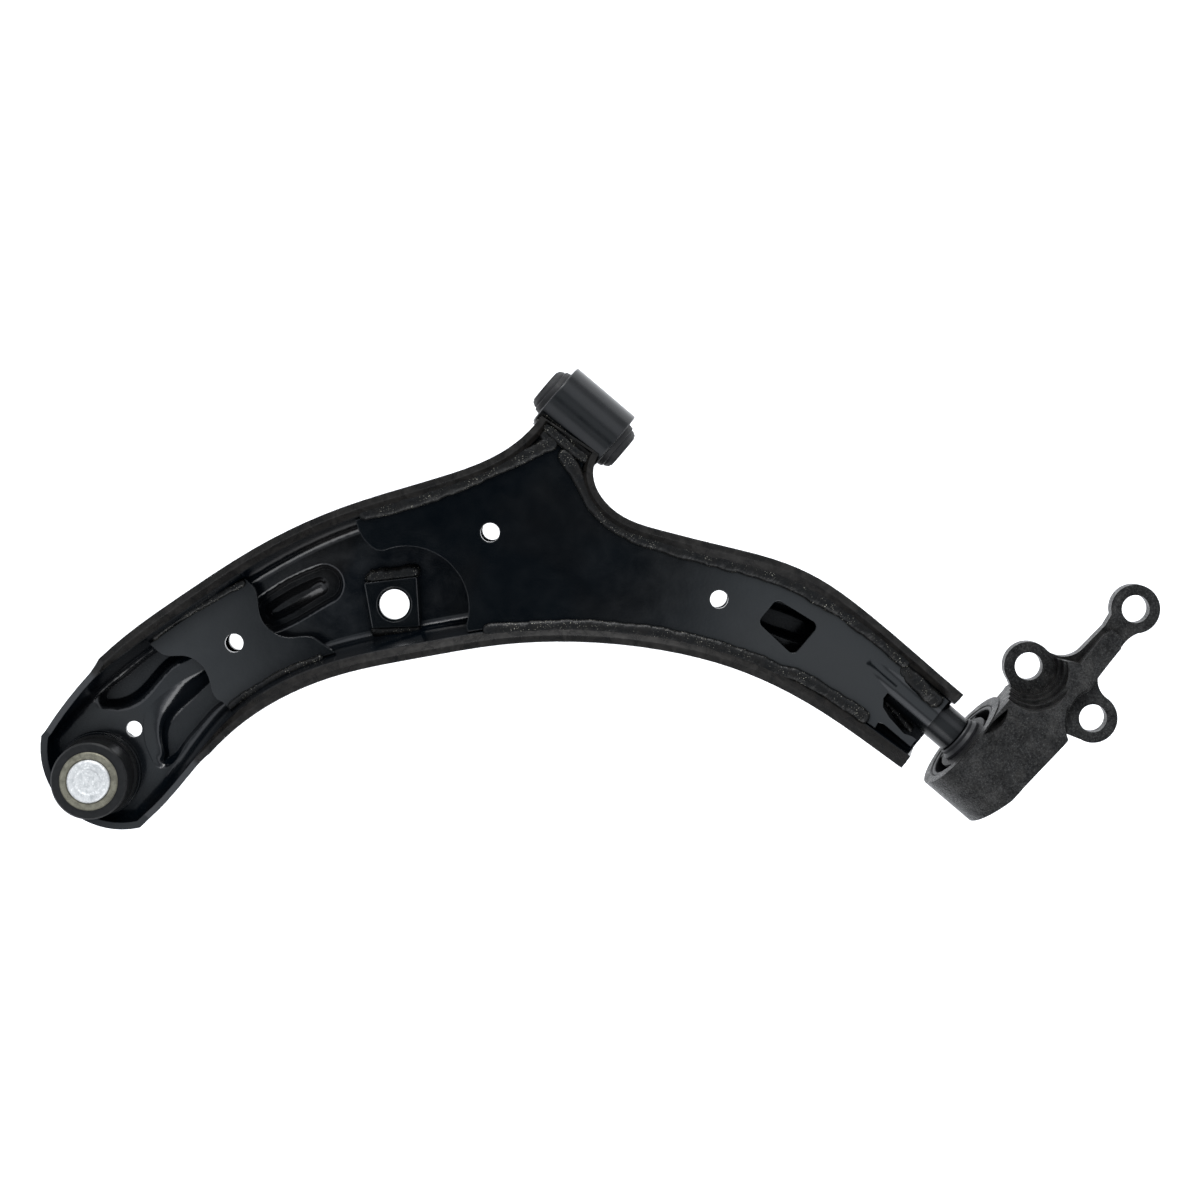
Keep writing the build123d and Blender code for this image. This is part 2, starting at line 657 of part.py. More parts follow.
# radius and floor height of each step down to the bolt faces
spot_steps = [
    [(12.6, ear_top)],
    [(13.4, ear_top), (15.2, 7.5), (17.0, 12.0), (18.8, 17.0)],
    [(13.2, ear_top), (15.0, 8.0), (16.6, 14.0), (18.2, 20.0)],
]
# deep crescent slot between the ring and the body, stopping short of the bore
with BuildPart() as ring_slot:
    with BuildSketch(level(10.0)):
        with BuildLine():
            r1 = ThreePointArc((243.5, 9.5), (243.8, 18.0), (244.8, 26.0))
            r2 = ThreePointArc((244.8, 26.0), (247.0, 19.5), (243.5, 9.5))
        make_face()
    extrude(amount=30.0)
    with Locations(Location((244.0, 0, 0), (0, 90, 0))):
        Cylinder(24.9, 30.0, mode=Mode.SUBTRACT)

with BuildPart() as rear_bracket:
    # mounting plate: three ears and the webs between them
    with BuildSketch(level(ear_bottom)):
        for x, y in ears:
            with Locations((x, y)):
                Circle(ear_r)
        with BuildLine():
            e1 = Line((247.0, 20.0), (247.0, 34.0))
            e2 = Polyline((247.0, 34.0), (239.0, 38.2), (236.5, 56.0), (244.0, 60.7))
            e3 = ThreePointArc((244.0, 60.7), (254.4, 64.2), (258.2, 72.0))
            e4 = Polyline((258.2, 72.0), (259.3, 88.0), (258.0, 96.0), (266.0, 104.0), (275.6, 98.0))
            e5 = ThreePointArc((275.6, 98.0), (272.9, 93.0), (272.2, 86.0))
            e6 = Line((272.2, 86.0), (271.6, 70.0))
            e7 = ThreePointArc((271.6, 70.0), (275.2, 64.2), (283.0, 61.7))
            e8 = Polyline((283.0, 61.7), (286.0, 50.0), (286.0, 37.9), (279.4, 35.6), (274.6, 32.0),
                          (274.0, 20.0), (247.0, 20.0))
        make_face()
    extrude(amount=ear_top - ear_bottom)
    # high body: runs from the ring to the rib, cut round by the ears' spot faces
    with BuildSketch(level(ear_bottom)) as high_plan:
        with BuildLine():
            Polyline(
                (body_front, 2.0), (body_front, 34.0), (250.0, 60.0), (260.6, 66.0), (260.8, 84.0),
                (262.4, 88.6), (269.4, 88.6), (271.4, 84.0), (271.2, 66.0), (272.0, 41.0),
                (275.8, 32.8), (ring_back, 2.0), close=True,
            )
        make_face()
    extrude(amount=40)
    with BuildSketch(Plane.YZ.offset(200)):
        with BuildLine():
            h1 = Line((-60, 27.2), (30.0, 27.2))
            h2 = Spline((30.0, 27.2), (42.0, 22.5), (60.0, 13.5), (84.0, 8.0), tangents=[(1, -0.15), (1, -0.1)])
            h3 = Line((84.0, 8.0), (140.0, 4.0))
            h4 = Line((140.0, 4.0), (140.0, 60.0))
            h5 = Line((140.0, 60.0), (-60, 60.0))
            h6 = Line((-60, 60.0), (-60, 27.2))
        make_face()
    extrude(amount=120, mode=Mode.SUBTRACT)
    # spot faces for the bolt heads
    for (x, y), steps in zip(ears, spot_steps):
        for r, z in steps:
            with BuildSketch(level(z)):
                with Locations((x, y)):
                    Circle(r)
            extrude(amount=40, taper=-2.0, mode=Mode.SUBTRACT)
    # slope from the front face up to the top
    with BuildSketch(Plane.XZ.offset(-36.0)):
        with BuildLine():
            Polyline(
                (240.0, 17.4), (body_front, 21.0), (body_edge, 27.2), (body_edge, 40.0), (240.0, 40.0),
                close=True,
            )
        make_face()
    extrude(amount=34.0, mode=Mode.SUBTRACT)
    # the machined mounting face stops short of the ring
    with Locations((260.0, 24.0, ear_bottom)):
        Box(90, 18, 2.0, mode=Mode.SUBTRACT)
    # ring for the bush
    with BuildSketch(Plane.YZ.offset(ring_front)):
        Circle(ring_r)
    extrude(amount=ring_back - ring_front)
    # back face slopes in on the side away from the ears
    with BuildSketch(level(-40)):
        with BuildLine():
            Polyline((270.8, -40.0), (270.8, -26.0), (ring_back, -6.0), (290.0, -6.0), (290.0, -40.0), close=True)
        make_face()
    extrude(amount=80, mode=Mode.SUBTRACT)
    with BuildSketch(Plane.YZ.offset(ring_front - 5)):
        Circle(ring_bore)
    extrude(amount=45, mode=Mode.SUBTRACT)
    add(ring_slot.part, mode=Mode.SUBTRACT)
    bore_rims = rear_bracket.edges().filter_by(GeomType.CIRCLE).filter_by(
        lambda e: abs(e.radius - ring_bore) < 0.01)
    chamfer(bore_rims.sort_by(Axis.X)[0], 0.6)
    # bolt holes
    for x, y in ears:
        with Locations((x, y, 0)):
            Cylinder(ear_hole_r, 40, mode=Mode.SUBTRACT)
rear_bracket.part.label = "rear_bracket"
export_step(rear_bracket.part, "parts/rear_bracket.step")

# ---------------------------------------------------------------- ball joint, turned about its own axis
joint_plane = Plane(origin=(ball_x, ball_y, 0), x_dir=(1, 0, 0), z_dir=(0, -1, 0))
joint_axis = Axis((ball_x, ball_y, 0), (0, 0, 1))

with BuildPart() as ball_housing:
    with BuildSketch(joint_plane):
        with BuildLine():
            Polyline(
                (housing_bore, housing_top), (17.9, housing_top), (housing_r, 11.2), (housing_r, -3.9),
                (flange_r, -3.9), (flange_r, flange_z + fit), (housing_r, flange_z + fit),
                (housing_r, -14.1), (17.5, -14.1), (17.5, -15.7), (housing_r, -15.7),
                (housing_r, -19.5), (17.2, -19.5), (17.2, -22.0), (housing_r, -22.0),
                (housing_r, -23.2), (17.9, housing_bottom), (15.8, housing_bottom), (11.3, -12.8),
                (11.3, -11.95), (housing_bore, -11.95), close=True,
            )
        make_face()
    revolve(axis=joint_axis)
ball_housing.part.label = "ball_housing"
export_step(ball_housing.part, "parts/ball_housing.step")

with BuildPart() as ball_seat:
    with BuildSketch(joint_plane):
        with Locations(((housing_bore - fit) / 2, -1.65)):
            Rectangle(housing_bore - fit, 20.3)
        with Locations((0, ball_z)):
            Circle(ball_r + fit, mode=Mode.SUBTRACT)
    revolve(axis=joint_axis)
ball_seat.part.label = "ball_seat"
export_step(ball_seat.part, "parts/ball_seat.step")

with BuildPart() as ball_stud:
    neck_z = ball_z - math.sqrt(ball_r ** 2 - stud_neck_r ** 2)
    with BuildSketch(joint_plane):
        with BuildLine():
            s1 = ThreePointArc((0, ball_z + ball_r), (ball_r, ball_z), (stud_neck_r, neck_z))
            s2 = Polyline(
                s1 @ 1, (stud_neck_r, -25.5), (9.2, -33.6), (9.2, -37.6), (8.4, -38.4), (7.0, -60.0),
                (5.3, -61.0), (5.3, -62.6), (stud_thread_r, -63.4), (stud_thread_r, stud_end + 1.2),
                (4.8, stud_end), (0, stud_end), (0, ball_z + ball_r))
        make_face()
    revolve(axis=joint_axis)
    # hole for a split pin
    with Locations(Location((ball_x, ball_y, -75.0), (0, 90, 0))):
        Cylinder(1.6, 40, mode=Mode.SUBTRACT)
ball_stud.part.label = "ball_stud"
export_step(ball_stud.part, "parts/ball_stud.step")

with BuildPart() as ball_cover:
    with BuildSketch(joint_plane):
        with BuildLine():
            Polyline(
                (0, 8.6), (14.2, 8.6), (14.2, 10.4), (10.6, 10.4), (10.6, 12.9), (9.9, 13.7),
                (6.6, 13.9), (5.9, 13.4), (0, 13.2), close=True,
            )
        make_face()
    revolve(axis=joint_axis)
ball_cover.part.label = "ball_cover"
export_step(ball_cover.part, "parts/ball_cover.step")

with BuildPart() as closing_ring:
    with BuildSketch(joint_plane):
        with BuildLine():
            Polyline(
                (10.7, 10.45), (14.2, 10.45), (14.2, 12.2), (13.6, 12.8), (11.2, 12.8), (10.7, 12.3),
                close=True,
            )
        make_face()
    revolve(axis=joint_axis)
closing_ring.part.label = "closing_ring"
export_step(closing_ring.part, "parts/closing_ring.step")

with BuildPart() as circlip:
    with BuildSketch(level(-15.6)):
        with Locations((ball_x, ball_y)):
            Circle(21.2)
            Circle(17.55, mode=Mode.SUBTRACT)
            with Locations((0, 21.5)):
                Rectangle(13.0, 12.0, mode=Mode.SUBTRACT)
        with Locations((ball_x - 7.6, ball_y + 21.0), (ball_x + 7.6, ball_y + 21.0)):
            Circle(2.9)
            Circle(1.2, mode=Mode.SUBTRACT)
    extrude(amount=1.5)
circlip.part.label = "circlip"
export_step(circlip.part, "parts/circlip.step")

with BuildPart() as dust_boot:
    with BuildSketch(joint_plane):
        with BuildLine():
            d1 = Polyline((17.25, -21.9), (17.25, -19.6), (20.3, -19.6), (20.3, -22.0))
            d2 = Spline((20.3, -22.0), (21.4, -26.5), (17.6, -31.0), (11.6, -33.6))
            d3 = Polyline((11.6, -33.6), (11.6, -37.2), (9.25, -37.2), (9.25, -33.9))
            d4 = Spline((9.25, -33.9), (12.4, -31.2), (17.0, -29.0), (19.6, -26.2), (18.8, -24.0))
            d5 = Polyline((18.8, -24.0), (18.8, -21.9), (17.25, -21.9))
        make_face()
    revolve(axis=joint_axis)
dust_boot.part.label = "dust_boot"
export_step(dust_boot.part, "parts/dust_boot.step")

with BuildPart() as boot_lower_clip:
    with BuildSketch(joint_plane):
        with Locations((21.0, -20.8)):
            Circle(0.65)
    revolve(axis=joint_axis)
boot_lower_clip.part.label = "boot_lower_clip"
export_step(boot_lower_clip.part, "parts/boot_lower_clip.step")

with BuildPart() as boot_upper_clip:
    with BuildSketch(joint_plane):
        with Locations((12.3, -35.6)):
            Circle(0.65)
    revolve(axis=joint_axis)
boot_upper_clip.part.label = "boot_upper_clip"
export_step(boot_upper_clip.part, "parts/boot_upper_clip.step")
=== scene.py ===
import json
import math

import bpy
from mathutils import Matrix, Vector, noise


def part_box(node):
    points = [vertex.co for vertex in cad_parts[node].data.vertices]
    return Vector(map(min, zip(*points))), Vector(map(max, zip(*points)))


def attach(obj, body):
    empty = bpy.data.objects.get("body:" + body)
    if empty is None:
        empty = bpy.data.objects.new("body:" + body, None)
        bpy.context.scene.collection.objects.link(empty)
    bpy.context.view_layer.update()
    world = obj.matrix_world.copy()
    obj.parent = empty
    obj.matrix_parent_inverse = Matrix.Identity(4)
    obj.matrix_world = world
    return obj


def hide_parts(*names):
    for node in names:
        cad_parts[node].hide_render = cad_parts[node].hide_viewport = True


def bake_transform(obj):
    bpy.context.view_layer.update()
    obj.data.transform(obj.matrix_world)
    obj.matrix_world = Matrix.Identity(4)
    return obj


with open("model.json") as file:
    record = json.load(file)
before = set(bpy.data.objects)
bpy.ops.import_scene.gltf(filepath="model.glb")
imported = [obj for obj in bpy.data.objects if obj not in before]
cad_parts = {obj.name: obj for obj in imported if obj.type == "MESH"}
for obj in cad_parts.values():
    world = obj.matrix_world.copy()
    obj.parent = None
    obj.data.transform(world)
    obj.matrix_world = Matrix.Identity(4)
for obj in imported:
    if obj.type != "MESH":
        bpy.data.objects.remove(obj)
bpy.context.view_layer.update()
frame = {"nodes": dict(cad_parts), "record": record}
nodes = frame["nodes"]
MM = 0.001


# ---------------------------------------------------------------- node helpers
class Graph:
    """A material with one Principled shader and short names for the nodes that feed it."""

    def __init__(self, name):
        self.material = bpy.data.materials.new(name)
        self.material.use_nodes = True
        self.tree = self.material.node_tree
        self.tree.nodes.clear()
        self.shader = self.add("ShaderNodeBsdfPrincipled")
        output = self.add("ShaderNodeOutputMaterial")
        self.link(self.shader.outputs[0], output.inputs[0])
        coord = self.add("ShaderNodeTexCoord")
        scale = self.add("ShaderNodeVectorMath", operation="SCALE")
        scale.inputs["Scale"].default_value = 1000.0
        self.link(coord.outputs["Object"], scale.inputs[0])
        self.mm = scale.outputs[0]
        self.normal = None

    def add(self, kind, **values):
        node = self.tree.nodes.new(kind)
        for key, value in values.items():
            setattr(node, key, value)
        return node

    def link(self, a, b):
        self.tree.links.new(a, b)

    def set(self, **values):
        for key, value in values.items():
            self.shader.inputs[key.replace("_", " ")].default_value = value

    def stretched(self, x, y, z):
        node = self.add("ShaderNodeVectorMath", operation="MULTIPLY")
        node.inputs[1].default_value = (x, y, z)
        self.link(self.mm, node.inputs[0])
        return node.outputs[0]

    def noise(self, size, detail=2.0, rough=0.5, distortion=0.0, coord=None):
        node = self.add("ShaderNodeTexNoise")
        node.inputs["Scale"].default_value = 1.0 / size
        node.inputs["Detail"].default_value = detail
        node.inputs["Roughness"].default_value = rough
        node.inputs["Distortion"].default_value = distortion
        self.link(coord or self.mm, node.inputs["Vector"])
        return node.outputs["Fac"]

    def cells(self, size, feature="F1"):
        node = self.add("ShaderNodeTexVoronoi", feature=feature)
        node.inputs["Scale"].default_value = 1.0 / size
        self.link(self.mm, node.inputs["Vector"])
        return node.outputs["Distance"]

    def ramp(self, value, stops):
        node = self.add("ShaderNodeValToRGB")
        elements = node.color_ramp.elements
        while len(elements) < len(stops):
            elements.new(0.5)
        for element, (place, colour) in zip(elements, stops):
            element.position = place
            element.color = (*colour, 1.0) if len(colour) == 3 else colour
        self.link(value, node.inputs[0])
        return node.outputs[0]

    def band(self, value, low, high, out_low=0.0, out_high=1.0):
        node = self.add("ShaderNodeMapRange")
        for key, number in zip(("From Min", "From Max", "To Min", "To Max"), (low, high, out_low, out_high)):
            node.inputs[key].default_value = number
        self.link(value, node.inputs["Value"])
        return node.outputs["Result"]

    def math(self, operation, a, b):
        node = self.add("ShaderNodeMath", operation=operation)
        for socket, value in zip(node.inputs, (a, b)):
            if isinstance(value, (int, float)):
                socket.default_value = value
            else:
                self.link(value, socket)
        return node.outputs[0]

    def mix(self, share, a, b, kind="MIX"):
        node = self.add("ShaderNodeMix", data_type="RGBA", blend_type=kind)
        if isinstance(share, (int, float)):
            node.inputs[0].default_value = share
        else:
            self.link(share, node.inputs[0])
        for socket, value in zip((node.inputs[6], node.inputs[7]), (a, b)):
            if isinstance(value, tuple):
                socket.default_value = (*value, 1.0)
            else:
                self.link(value, socket)
        return node.outputs[2]

    def bump(self, height, depth_mm, strength=1.0):
        node = self.add("ShaderNodeBump")
        node.inputs["Distance"].default_value = depth_mm * MM
        node.inputs["Strength"].default_value = strength
        self.link(height, node.inputs["Height"])
        if self.normal is not None:
            self.link(self.normal, node.inputs["Normal"])
        self.normal = node.outputs[0]
        self.link(self.normal, self.shader.inputs["Normal"])

    def height(self):
        """Height above the pivot axis in millimetres, in the object's own coordinates."""
        node = self.add("ShaderNodeSeparateXYZ")
        self.link(self.mm, node.inputs[0])
        return node.outputs[2]

    def soft_edges(self, radius):
        """Rounds the shading of sharp edges, as a coat does. Comes before the bumps."""
        node = self.add("ShaderNodeBevel", samples=4)
        node.inputs["Radius"].default_value = radius * MM
        self.normal = node.outputs[0]

    def painted_shade_mask(self, reach, low, high, dark, level):
        """Mask of painted shade, by ambient occlusion: from dark where the surface is closed in within
        reach, to level in the open.
        """
        node = self.add("ShaderNodeAmbientOcclusion", samples=4)
        node.inputs["Distance"].default_value = reach * MM
        return self.band(node.outputs["AO"], low, high, dark, level)

    def painted_shade_in_hollows(self, reach, low, high, dark, level=0.5, fade=None):
        """Painted shade: weakens the reflection in corners and hollows, by ambient occlusion."""
        share = self.painted_shade_mask(reach, low, high, dark, level)
        if fade is not None:
            share = self.math("MULTIPLY", share, fade)
        self.set(Specular_IOR_Level=level)
        self.link(share, self.shader.inputs["Specular IOR Level"])

    def colour(self, value):
        self.link(value, self.shader.inputs["Base Color"])

    def roughness(self, value):
        self.link(value, self.shader.inputs["Roughness"])


def dip_coat(name, dark, light, warm, rough, peel=0.02, dust=0.35, warmth=0.5, lip=None, level=0.52):
    """Black dip coat: soft blotches, a warm cast in places, orange peel and a little dust.
    lip is the height in millimetres above which the coat turns browner and duller."""
    g = Graph(name)
    base = g.ramp(g.noise(34.0, 3.0, 0.55, 0.6), [(0.32, dark), (0.70, light)])
    cast = g.band(g.noise(52.0, 2.0, 0.5, 0.4), 0.47, 0.66, 0.0, warmth)
    base = g.mix(cast, base, warm)
    sheen = g.band(g.noise(11.0, 4.0, 0.6, 0.3), 0.3, 0.7, rough[0], rough[1])
    dust_and_glint_fleck = g.band(g.noise(0.42, 1.0, 0.6), 0.68, 0.76, 0.0, dust)
    dust_and_glint_patch = g.band(g.noise(17.0, 3.0, 0.6), 0.46, 0.64)
    fade = None
    if lip is not None:
        edge = g.band(g.height(), lip, lip + 1.0)
        streak = g.noise(6.0, 4.0, 0.65, 0.8)
        brown = g.ramp(streak, [(0.30, (0.0020, 0.0020, 0.0020)), (0.66, (0.0085, 0.0074, 0.0062))])
        base = g.mix(edge, base, brown)
        sheen = g.math("ADD", sheen, g.math("MULTIPLY", edge, g.band(streak, 0.3, 0.7, 0.08, 0.24)))
        fade = g.band(g.math("MULTIPLY", edge, g.band(streak, 0.25, 0.75, 1.35, 0.65)), 0.0, 1.0, 1.0, 0.42)
        # painted shade: the reflection is also dimmed wherever the pressing is closed in within 45 mm
        fade = g.math("MULTIPLY", fade, g.painted_shade_mask(45.0, 0.16, 0.36, 0.0, 1.0))
    base = g.mix(g.math("MULTIPLY", dust_and_glint_fleck, dust_and_glint_patch), base, (0.16, 0.155, 0.14))
    g.colour(base)
    g.roughness(sheen)
    g.soft_edges(0.7)
    g.bump(g.noise(1.5, 3.0, 0.5), peel)
    g.bump(g.noise(9.0, 2.0, 0.5), peel * 4.0, 0.6)
    g.set(IOR=1.52)
    # painted shade: weaker reflection in corners and hollows
    g.painted_shade_in_hollows(11.0, 0.46, 0.92, 0.02, level, fade)
    return g.material


pressing = dip_coat("coated_pressing", (0.0006, 0.0014, 0.0024), (0.0015, 0.0027, 0.0041),
                    (0.0060, 0.0046, 0.0034), (0.10, 0.18), 0.006, 0.16, 0.45, 11.3, 0.44)
plate = dip_coat("coated_plate", (0.0006, 0.0012, 0.0018), (0.0014, 0.0022, 0.0029),
                 (0.0042, 0.0038, 0.0034), (0.08, 0.13), 0.003, 0.05, 0.30)
turned = dip_coat("coated_pin", (0.0010, 0.0015, 0.0020), (0.0022, 0.0027, 0.0032),
                  (0.0040, 0.0038, 0.0034), (0.20, 0.28), 0.006, 0.05, 0.30, None, 0.30)


def weld_coat():
    g = Graph("weld_bead")
    base = g.ramp(g.noise(5.0, 4.0, 0.65), [
        (0.30, (0.0012, 0.0016, 0.0020)), (0.62, (0.0036, 0.0033, 0.0029)), (0.82, (0.0090, 0.0074, 0.0056)),
    ])
    # painted glints: bright specks, in patches, in the bead's base colour stand in for glints of light on
    # the weld
    dust_and_glint_fleck = g.band(g.noise(0.56, 1.0, 0.6), 0.682, 0.715)
    dust_and_glint_patch = g.band(g.noise(8.0, 2.0, 0.6), 0.44, 0.56)
    base = g.mix(g.math("MULTIPLY", dust_and_glint_fleck, dust_and_glint_patch), base, (0.24, 0.23, 0.19))
    g.colour(base)
    g.roughness(g.band(g.noise(2.0, 3.0), 0.3, 0.7, 0.20, 0.40))
    g.bump(g.noise(0.8, 4.0, 0.65), 0.09)
    g.set(IOR=1.50)
    # painted shade: weaker reflection in corners and hollows
    g.painted_shade_in_hollows(4.0, 0.40, 0.85, 0.03, 0.17)
    return g.material


def cast_coat():
    g = Graph("coated_casting")
    base = g.ramp(g.noise(9.0, 5.0, 0.65, 0.3), [
        (0.32, (0.0022, 0.0022, 0.0023)), (0.50, (0.0075, 0.0074, 0.0071)), (0.68, (0.0180, 0.0174, 0.0163)),
    ])
    pit = g.band(g.cells(1.05), 0.05, 0.30)
    base = g.mix(g.math("MULTIPLY", g.math("SUBTRACT", 1.0, pit), 0.70), base, (0.0012, 0.0012, 0.0014))
    speck = g.band(g.noise(0.55, 2.0, 0.7), 0.60, 0.70)
    base = g.mix(g.math("MULTIPLY", speck, 0.40), base, (0.085, 0.082, 0.074))
    g.colour(base)
    g.roughness(g.band(g.noise(1.6, 3.0), 0.3, 0.7, 0.26, 0.46))
    g.soft_edges(0.9)
    g.bump(g.noise(0.85, 4.0, 0.65), 0.27)
    g.bump(g.noise(3.6, 3.0, 0.6), 0.34, 0.8)
    g.set(IOR=1.50)
    fine = g.band(g.noise(1.1, 3.0, 0.7), 0.36, 0.62, 0.25, 1.1)
    broad = g.band(g.noise(6.5, 3.0), 0.3, 0.6, 0.6, 1.1)
    grain = g.math("MULTIPLY", fine, broad)
    # painted shade: weaker reflection in corners and hollows, varied by the grain
    g.painted_shade_in_hollows(7.0, 0.46, 0.94, 0.01, 0.26, grain)
    return g.material


def moulded_rubber(name, dark, light):
    g = Graph(name)
    g.colour(g.ramp(g.noise(4.0, 4.0, 0.6), [(0.3, dark), (0.75, light)]))
    g.roughness(g.band(g.noise(1.2, 3.0), 0.3, 0.7, 0.48, 0.68))
    g.bump(g.noise(0.5, 3.0, 0.6), 0.03)
    g.bump(g.noise(5.0, 2.0), 0.10, 0.5)
    g.set(IOR=1.48)
    # painted shade: weaker reflection in corners and hollows
    g.painted_shade_in_hollows(4.0, 0.35, 0.85, 0.03, 0.34)
    return g.material


def machined(name, dark, light, rough, metallic, across, depth=0.02, spots=None, level=0.5):
    """Machined or plated metal. across stretches the grain so that its lines follow the turning."""
    g = Graph(name)
    grain = g.noise(1.0, 3.0, 0.6, 0.0, g.stretched(*across))
    mottle = g.noise(3.2, 4.0, 0.6, 0.5)
    base = g.ramp(g.math("ADD", g.math("MULTIPLY", grain, 0.35), g.math("MULTIPLY", mottle, 0.65)),
                  [(0.34, dark), (0.66, light)])
    if spots:
        spot = g.band(g.noise(0.9, 3.0, 0.7), 0.56, 0.66)
        base = g.mix(g.math("MULTIPLY", spot, 0.8), base, spots)
    g.colour(base)
    g.roughness(g.band(g.noise(2.0, 3.0, 0.6), 0.3, 0.7, rough[0], rough[1]))
    g.bump(grain, depth)
    # painted shade: weaker reflection in corners and hollows
    g.painted_shade_in_hollows(10.0, 0.45, 0.95, 0.03, level)
    g.set(Metallic=metallic)
    return g.material


def seat_plastic():
    g = Graph("seat_plastic")
    g.colour(g.ramp(g.noise(6.0, 3.0), [(0.3, (0.62, 0.60, 0.53)), (0.7, (0.72, 0.70, 0.64))]))
    g.roughness(g.band(g.noise(2.0), 0.3, 0.7, 0.42, 0.55))
    g.bump(g.noise(0.8, 2.0), 0.02)
    return g.material


weld = weld_coat()
casting = cast_coat()
bush_rubber = moulded_rubber("bush_rubber", (0.0030, 0.0030, 0.0033), (0.0068, 0.0068, 0.0070))
boot_rubber = moulded_rubber("boot_rubber", (0.0060, 0.0060, 0.0066), (0.0110, 0.0110, 0.0116))
sleeve = machined("bush_sleeve", (0.0050, 0.0050, 0.0056), (0.0110, 0.0110, 0.0120), (0.42, 0.56), 0.0,
                  (6.0, 0.6, 0.6), 0.02, None, 0.40)
forging = machined("dark_forging", (0.0036, 0.0038, 0.0040), (0.0080, 0.0082, 0.0084), (0.34, 0.46), 0.0,
                   (0.5, 0.5, 5.0), 0.02, None, 0.20)
stud_steel = machined("stud_steel", (0.26, 0.26, 0.27), (0.48, 0.48, 0.49), (0.24, 0.38), 1.0,
                      (0.5, 0.5, 7.0))
zinc = machined("zinc_cover", (0.34, 0.35, 0.35), (0.60, 0.60, 0.59), (0.34, 0.52), 0.45,
                (1.0, 1.0, 1.0), 0.08, (0.74, 0.74, 0.72))
passivated = machined("passivated_ring", (0.080, 0.076, 0.056), (0.20, 0.19, 0.145), (0.34, 0.5), 0.6,
                      (2.0, 2.0, 0.5), 0.04)
spring_steel = machined("spring_steel", (0.06, 0.06, 0.065), (0.16, 0.16, 0.17), (0.30, 0.42), 0.9,
                        (1.5, 1.5, 1.5))
seat_white = seat_plastic()

finishes = {
    "coated_pressing": pressing, "coated_plate": plate, "coated_pin": turned, "weld_bead": weld,
    "coated_casting": casting, "bush_sleeve": sleeve, "bush_rubber": bush_rubber, "dark_forging": forging,
    "seat_plastic": seat_white, "stud_steel": stud_steel, "zinc_cover": zinc, "passivated_ring": passivated,
    "spring_steel": spring_steel, "boot_rubber": boot_rubber,
}
slot_of = {row["node"]: row["material_slot"] for row in frame["record"]["subparts"]}
for name, obj in nodes.items():
    for material_slot in obj.material_slots:
        material_slot.link = "DATA"
        # the tube is turned, so it gets the duller coat of the pin
        material_slot.material = turned if name == "front_tube" else finishes[slot_of[name]]


# ---------------------------------------------------------------- mesh helpers
def new_piece(name, verts, faces, body, slot, replaced=(), smooth=True):
    mesh = bpy.data.meshes.new(name)
    mesh.from_pydata(verts, [], faces)
    mesh.validate()
    mesh.update()
    obj = bpy.data.objects.new(name, mesh)
    bpy.context.scene.collection.objects.link(obj)
    mesh.materials.append(finishes[slot])
    for polygon in mesh.polygons:
        polygon.use_smooth = smooth
    if body:
        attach(obj, body)
    if replaced:
        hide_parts(*replaced)
    return obj


def lathe(profile, centre, count=96, closed=True):
    """Vertices and faces of an (r, z) profile in metres turned about a vertical line at centre."""
    verts = []
    faces = []
    size = len(profile)
    for i in range(count):
        angle = 2 * math.pi * i / count
        for r, z in profile:
            verts.append((centre[0] + r * math.cos(angle), centre[1] + r * math.sin(angle), z))
    last = size if closed else size - 1
    for i in range(count):
        j = (i + 1) % count
        for k in range(last):
            m = (k + 1) % size
            faces.append((i * size + k, j * size + k, j * size + m, i * size + m))
    return verts, faces


# ---------------------------------------------------------------- lumpy weld beads
def centreline(points, axis, steps):
    """Average point of each slice along one axis."""
    low = min(p[axis] for p in points)
    high = max(p[axis] for p in points)
    sums = [[Vector((0, 0, 0)), 0] for _ in range(steps)]
    for p in points:
        k = min(int((p[axis] - low) / (high - low) * steps), steps - 1)
        sums[k][0] += p
        sums[k][1] += 1
    return [total / count for total, count in sums if count]


def smooth_path(points, step):
    """Points every step millimetres along a smooth curve through points, all in millimetres."""
    ends = [points[0] * 2 - points[1]] + points + [points[-1] * 2 - points[-2]]
    dense = []
    for p0, p1, p2, p3 in zip(ends, ends[1:], ends[2:], ends[3:]):
        for k in range(12):
            t = k / 12
            dense.append(0.5 * ((2 * p1) + (p2 - p0) * t + (2 * p0 - 5 * p1 + 4 * p2 - p3) * t * t
                                + (3 * p1 - p0 - 3 * p2 + p3) * t * t * t))
    dense.append(points[-1])
    path = [dense[0]]
    left = step
    for p, q in zip(dense, dense[1:]):
        length = (q - p).length
        done = 0.0
        while length - done >= left:
            done += left
            path.append(p.lerp(q, done / length))
            left = step
        left -= length - done
    return path


